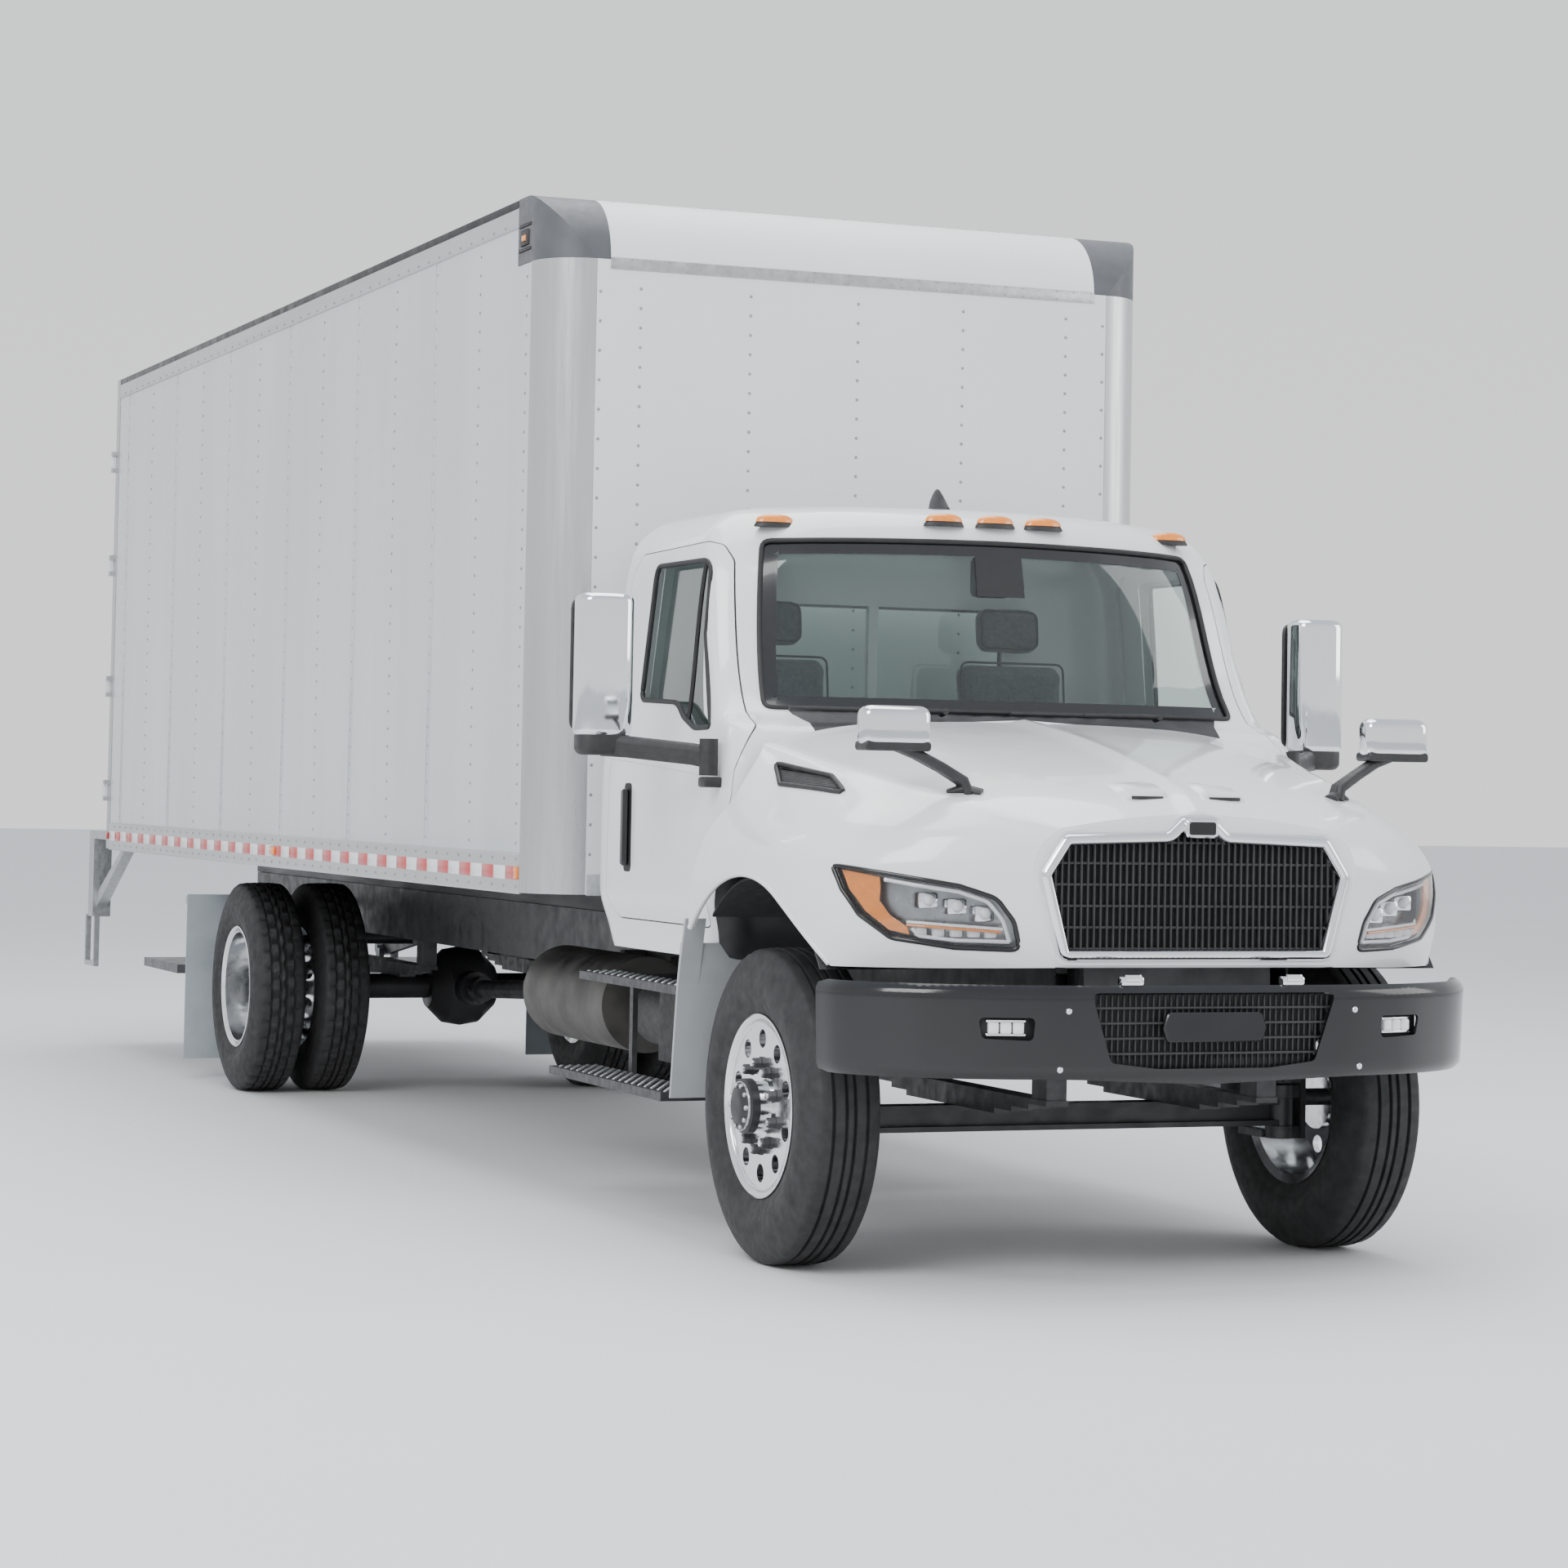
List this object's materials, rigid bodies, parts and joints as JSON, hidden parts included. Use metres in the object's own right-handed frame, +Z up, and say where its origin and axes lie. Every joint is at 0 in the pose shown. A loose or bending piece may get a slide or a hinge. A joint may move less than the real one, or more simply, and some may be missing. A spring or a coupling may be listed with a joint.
{
  "type": "box truck",
  "caption": "Bonneted box truck for mail delivery with opening cab and rear doors, tilting hood, steering and rolling wheels and a tuck-under liftgate.",
  "frame": {"origin": "on the ground under the middle of the whole truck", "axes": "+X to the driver's (left) side, -Y the way the truck drives, +Z up"},
  "size_m": [3.068, 11.5872, 3.876],
  "materials": {
    "chassis_black": "satin black chassis paint",
    "engine_metal": "cast grey",
    "polished_aluminium": "polished",
    "black_plastic": "grained black",
    "exhaust_steel": "heat stained",
    "spring_steel": "dark steel",
    "gloss_black": "gloss black",
    "white_paint": "gloss white clear coat",
    "glass": "lightly tinted",
    "dash_plastic": "soft grained grey",
    "seat_steel": "black powder coat",
    "seat_fabric": "woven grey cloth",
    "step_metal": "black with worn grip holes",
    "grey_plastic": "moulded grey",
    "floor_wood": "oiled laminated hardwood",
    "side_panel": "glossy light grey-white sheet",
    "front_panel": "satin light grey-white sheet",
    "roof_sheet": "satin white sheet",
    "brushed_post": "upright brushed grain",
    "cap_plastic": "moulded dark grey",
    "rail_aluminium": "mill finish",
    "rear_steel": "stainless satin",
    "flap_rubber": "light grey",
    "galvanised_steel": "galvanised",
    "chrome": "mirror bright",
    "lamp_lens": "clear lens",
    "tyre": "black rubber",
    "platform_steel": "grey tread plate",
    "door_panel": "satin white sheet"
  },
  "bodies": {
    "chassis": {"chassis_frame": "chassis_black", "powertrain": "engine_metal", "fuel_tank": "polished_aluminium", "battery_box": "black_plastic", "exhaust": "exhaust_steel", "front_axle": "chassis_black", "leaf_springs": "spring_steel", "rear_axle": "chassis_black", "bumper": "gloss_black", "cab_shell": "white_paint", "windscreen": "glass", "dashboard": "dash_plastic", "seat_bases": "seat_steel", "seat_pads": "seat_fabric", "side_steps": "step_metal", "inner_fenders": "grey_plastic", "box_floor": "floor_wood", "box_sides": "side_panel", "box_front": "front_panel", "box_roof": "roof_sheet", "corner_posts": "brushed_post", "corner_caps": "cap_plastic", "side_rails": "rail_aluminium", "rear_frame": "rear_steel", "mud_flaps": "flap_rubber", "lift_mount": "chassis_black", "dock_steps": "galvanised_steel"},
    "hood": {"hood": "white_paint", "grille_surround": "chrome", "grille_mesh": "black_plastic", "headlamps": "lamp_lens", "hood_mirrors": "chrome"},
    "door_left": {"door_left": "white_paint"},
    "window_left": {"window_left": "glass"},
    "handle_left": {"handle_left": "gloss_black"},
    "mirror_left": {"mirror_left": "chrome"},
    "knuckle_left": {"knuckle_left": "spring_steel"},
    "front_wheel_left": {"front_tyre_left": "tyre", "front_rim_left": "polished_aluminium"},
    "rear_wheel_left": {"rear_tyres_left": "tyre", "rear_rims_left": "polished_aluminium"},
    "rear_door_left": {"rear_door_left": "door_panel"},
    "lock_rod_left": {"lock_rod_left": "galvanised_steel"},
    "wiper_left": {"wiper_left": "black_plastic"},
    "door_right": {"door_right": "white_paint"},
    "window_right": {"window_right": "glass"},
    "handle_right": {"handle_right": "gloss_black"},
    "mirror_right": {"mirror_right": "chrome"},
    "knuckle_right": {"knuckle_right": "spring_steel"},
    "front_wheel_right": {"front_tyre_right": "tyre", "front_rim_right": "polished_aluminium"},
    "rear_wheel_right": {"rear_tyres_right": "tyre", "rear_rims_right": "polished_aluminium"},
    "rear_door_right": {"rear_door_right": "door_panel"},
    "lock_rod_right": {"lock_rod_right": "galvanised_steel"},
    "wiper_right": {"wiper_right": "black_plastic"},
    "driveshaft": {"driveshaft": "chassis_black"},
    "steering_wheel": {"steering_wheel": "black_plastic"},
    "lift_arms": {"lift_arms": "chassis_black"},
    "lift_platform": {"lift_platform": "platform_steel"}
  },
  "joints": [
    {"name": "hood_tilt", "type": "hinge", "parent": "chassis", "child": "hood", "pos_m": [0, -5.69365, 1], "axis": [1, 0, 0], "range_deg": [0, 55]},
    {"name": "door_left_swing", "type": "hinge", "parent": "chassis", "child": "door_left", "pos_m": [1.115, -4.33365, 1.5], "axis": [0, 0, -1], "range_deg": [0, 68]},
    {"name": "window_left_drop", "type": "slide", "parent": "door_left", "child": "window_left", "axis": [0.0995, 0, -0.995], "range_m": [0, 0.42]},
    {"name": "handle_left_pull", "type": "hinge", "parent": "door_left", "child": "handle_left", "pos_m": [1.127, -3.32765, 1.43], "axis": [0, 0, -1], "range_deg": [0, 18], "stiffness_Nm_per_rad": 4},
    {"name": "mirror_left_fold", "type": "hinge", "parent": "door_left", "child": "mirror_left", "pos_m": [1.15, -4.23365, 1.69], "axis": [0, 0, -1], "range_deg": [-15, 60]},
    {"name": "steer_left", "type": "hinge", "parent": "chassis", "child": "knuckle_left", "pos_m": [0.86, -4.69365, 0.527], "axis": [0, 0, 1], "range_deg": [-32, 32]},
    {"name": "front_wheel_left_spin", "type": "hinge", "parent": "knuckle_left", "child": "front_wheel_left", "pos_m": [1.01, -4.69365, 0.527], "axis": [1, 0, 0], "continuous": true},
    {"name": "rear_wheel_left_spin", "type": "hinge", "parent": "chassis", "child": "rear_wheel_left", "pos_m": [0.904, 2.37635, 0.527], "axis": [1, 0, 0], "continuous": true},
    {"name": "rear_door_left_swing", "type": "hinge", "parent": "chassis", "child": "rear_door_left", "pos_m": [1.31, 5.15535, 2.45], "axis": [0, 0, -1], "range_deg": [0, 250]},
    {"name": "lock_rod_left_turn", "type": "hinge", "parent": "rear_door_left", "child": "lock_rod_left", "pos_m": [0.15, 5.15835, 2.01], "axis": [0, 0, 1], "range_deg": [0, 90]},
    {"name": "wiper_left_sweep", "type": "hinge", "parent": "chassis", "child": "wiper_left", "pos_m": [0.56, -4.27865, 1.86], "axis": [0, 0.973, -0.2309], "range_deg": [0, 80]},
    {"name": "door_right_swing", "type": "hinge", "parent": "chassis", "child": "door_right", "pos_m": [-1.115, -4.33365, 1.5], "axis": [0, 0, 1], "range_deg": [0, 68]},
    {"name": "window_right_drop", "type": "slide", "parent": "door_right", "child": "window_right", "axis": [-0.0995, 0, -0.995], "range_m": [0, 0.42]},
    {"name": "handle_right_pull", "type": "hinge", "parent": "door_right", "child": "handle_right", "pos_m": [-1.127, -3.32765, 1.43], "axis": [0, 0, 1], "range_deg": [0, 18], "stiffness_Nm_per_rad": 4},
    {"name": "mirror_right_fold", "type": "hinge", "parent": "door_right", "child": "mirror_right", "pos_m": [-1.15, -4.23365, 1.69], "axis": [0, 0, 1], "range_deg": [-15, 60]},
    {"name": "steer_right", "type": "hinge", "parent": "chassis", "child": "knuckle_right", "pos_m": [-0.86, -4.69365, 0.527], "axis": [0, 0, 1], "range_deg": [-32, 32]},
    {"name": "front_wheel_right_spin", "type": "hinge", "parent": "knuckle_right", "child": "front_wheel_right", "pos_m": [-1.01, -4.69365, 0.527], "axis": [1, 0, 0], "continuous": true},
    {"name": "rear_wheel_right_spin", "type": "hinge", "parent": "chassis", "child": "rear_wheel_right", "pos_m": [-0.904, 2.37635, 0.527], "axis": [1, 0, 0], "continuous": true},
    {"name": "rear_door_right_swing", "type": "hinge", "parent": "chassis", "child": "rear_door_right", "pos_m": [-1.31, 5.15535, 2.45], "axis": [0, 0, 1], "range_deg": [0, 250]},
    {"name": "lock_rod_right_turn", "type": "hinge", "parent": "rear_door_right", "child": "lock_rod_right", "pos_m": [-0.15, 5.15835, 2.01], "axis": [0, 0, -1], "range_deg": [0, 90]},
    {"name": "wiper_right_sweep", "type": "hinge", "parent": "chassis", "child": "wiper_right", "pos_m": [-0.29, -4.27865, 1.86], "axis": [0, 0.973, -0.2309], "range_deg": [0, 80]},
    {"name": "driveshaft_spin", "type": "hinge", "parent": "chassis", "child": "driveshaft", "pos_m": [0, -3.36865, 0.8], "axis": [0, 0.9987, -0.0503], "continuous": true},
    {"name": "steering_wheel_turn", "type": "hinge", "parent": "chassis", "child": "steering_wheel", "pos_m": [0.5, -3.88365, 1.72], "axis": [0, 0.5397, 0.8419], "range_deg": [-512, 512]},
    {"name": "lift_arms_raise", "type": "hinge", "parent": "chassis", "child": "lift_arms", "pos_m": [0, 4.65635, 0.72], "axis": [1, 0, 0], "range_deg": [-25, 32]},
    {"name": "lift_platform_unfold", "type": "hinge", "parent": "lift_arms", "child": "lift_platform", "pos_m": [0, 5.74565, 0.56691], "axis": [1, 0, 0], "range_deg": [0, 180]}
  ],
  "couplings": [
    {"joint": "steer_right", "follows": "steer_left", "ratio": 1},
    {"joint": "steering_wheel_turn", "follows": "steer_left", "ratio": 16},
    {"joint": "driveshaft_spin", "follows": "rear_wheel_left_spin", "ratio": 4.88},
    {"joint": "wiper_right_sweep", "follows": "wiper_left_sweep", "ratio": 1}
  ]
}
